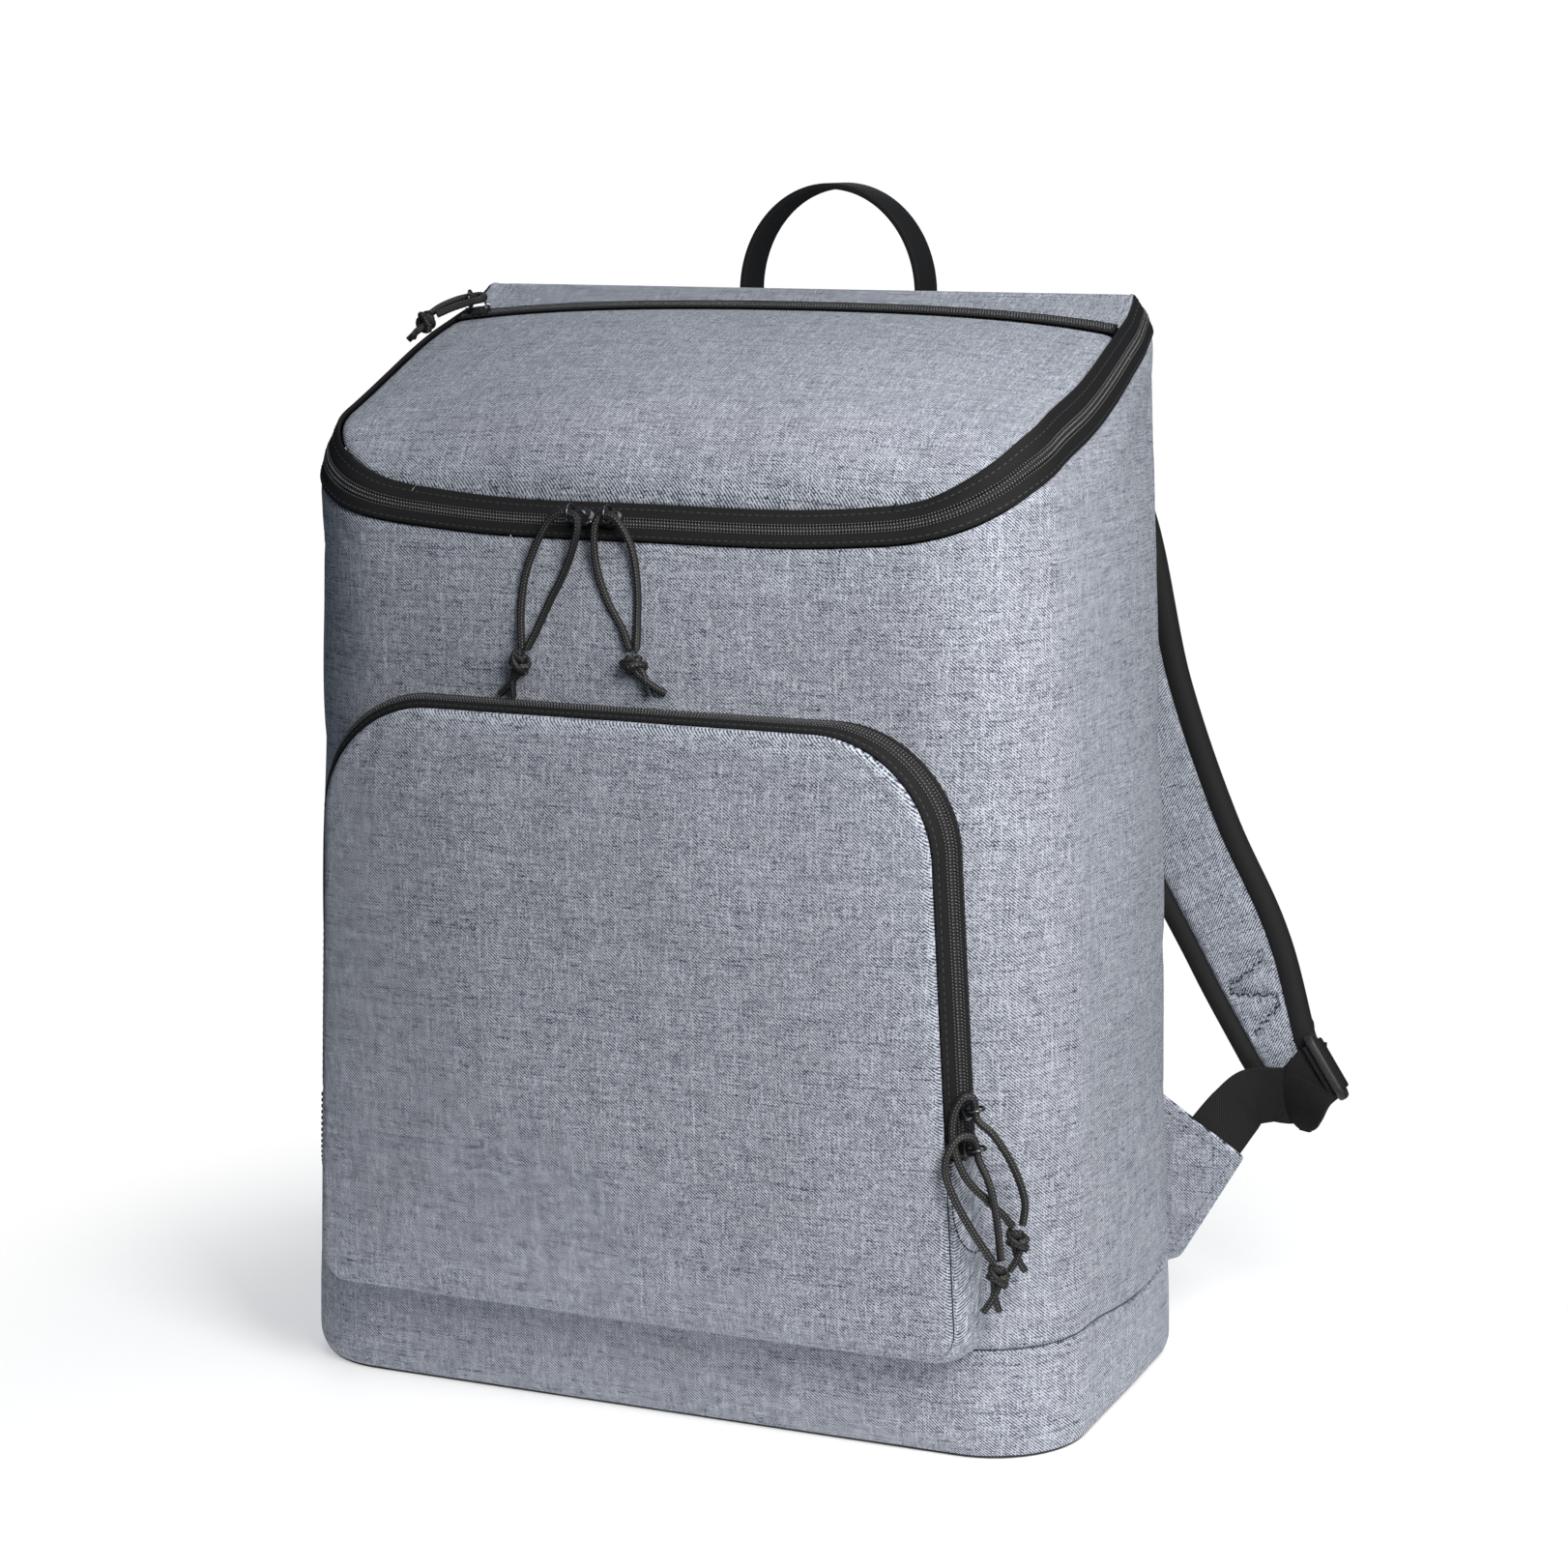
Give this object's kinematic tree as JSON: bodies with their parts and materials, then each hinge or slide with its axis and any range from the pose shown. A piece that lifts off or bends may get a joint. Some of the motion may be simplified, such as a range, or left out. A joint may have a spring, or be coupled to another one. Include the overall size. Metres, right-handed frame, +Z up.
{
  "type": "cooler backpack",
  "caption": "Soft insulated backpack with a zipped sloping lid, a zipped front pocket, cord zip pulls, a carry handle and padded shoulder straps.",
  "frame": {"origin": "middle of the flat underside", "axes": "+Z up, -Y to the front with the pocket, +Y to the back with the shoulder straps, +X to the right of someone who looks at the front"},
  "size_m": [0.4814, 0.237, 0.4843],
  "materials": {
    "melange_cloth": "melange twill",
    "black_trim": "herringbone tape",
    "black_webbing": "ribbed webbing",
    "zip_coil": "nylon coil",
    "base_cloth": "coated cloth",
    "pull_cord": "braided cord",
    "black_plastic": "satin",
    "slider_metal": "satin",
    "bail_wire": "gloss"
  },
  "bodies": {
    "root": {"body_shell": "melange_cloth", "base_band": "melange_cloth", "back_panel": "melange_cloth", "lid_front_panel": "melange_cloth", "lid_back_strip": "melange_cloth", "pocket_front_panel": "melange_cloth", "pocket_gusset": "melange_cloth", "strap_pad_right": "melange_cloth", "strap_pad_left": "melange_cloth", "strap_wing_right": "melange_cloth", "strap_wing_left": "melange_cloth", "base_panel": "base_cloth", "carry_handle": "black_webbing", "main_zip_lower_tape": "black_trim", "main_zip_upper_tape": "black_trim", "lid_zip_front_tape": "black_trim", "lid_zip_back_tape": "black_trim", "pocket_zip_outer_tape": "black_trim", "pocket_zip_inner_tape": "black_trim", "strap_binding_outer_right": "black_trim", "strap_binding_inner_right": "black_trim", "strap_binding_outer_left": "black_trim", "strap_binding_inner_left": "black_trim", "lower_webbing_right": "black_webbing", "lower_webbing_left": "black_webbing", "webbing_tail_right": "black_webbing", "webbing_tail_left": "black_webbing", "main_zip_coil": "zip_coil", "lid_zip_coil": "zip_coil", "pocket_zip_coil": "zip_coil", "strap_buckle_right": "black_plastic", "strap_buckle_left": "black_plastic", "slider_main_left": "slider_metal", "bail_main_left": "bail_wire", "pull_cord_main_left": "pull_cord", "pull_knot_main_left": "pull_cord", "slider_main_right": "slider_metal", "bail_main_right": "bail_wire", "pull_cord_main_right": "pull_cord", "pull_knot_main_right": "pull_cord", "slider_pocket_upper": "slider_metal", "bail_pocket_upper": "bail_wire", "pull_cord_pocket_upper": "pull_cord", "pull_knot_pocket_upper": "pull_cord", "slider_pocket_lower": "slider_metal", "bail_pocket_lower": "bail_wire", "pull_cord_pocket_lower": "pull_cord", "pull_knot_pocket_lower": "pull_cord", "slider_lid": "slider_metal", "bail_lid": "bail_wire", "pull_cord_lid": "pull_cord", "pull_knot_lid": "pull_cord"}
  },
  "joints": []
}
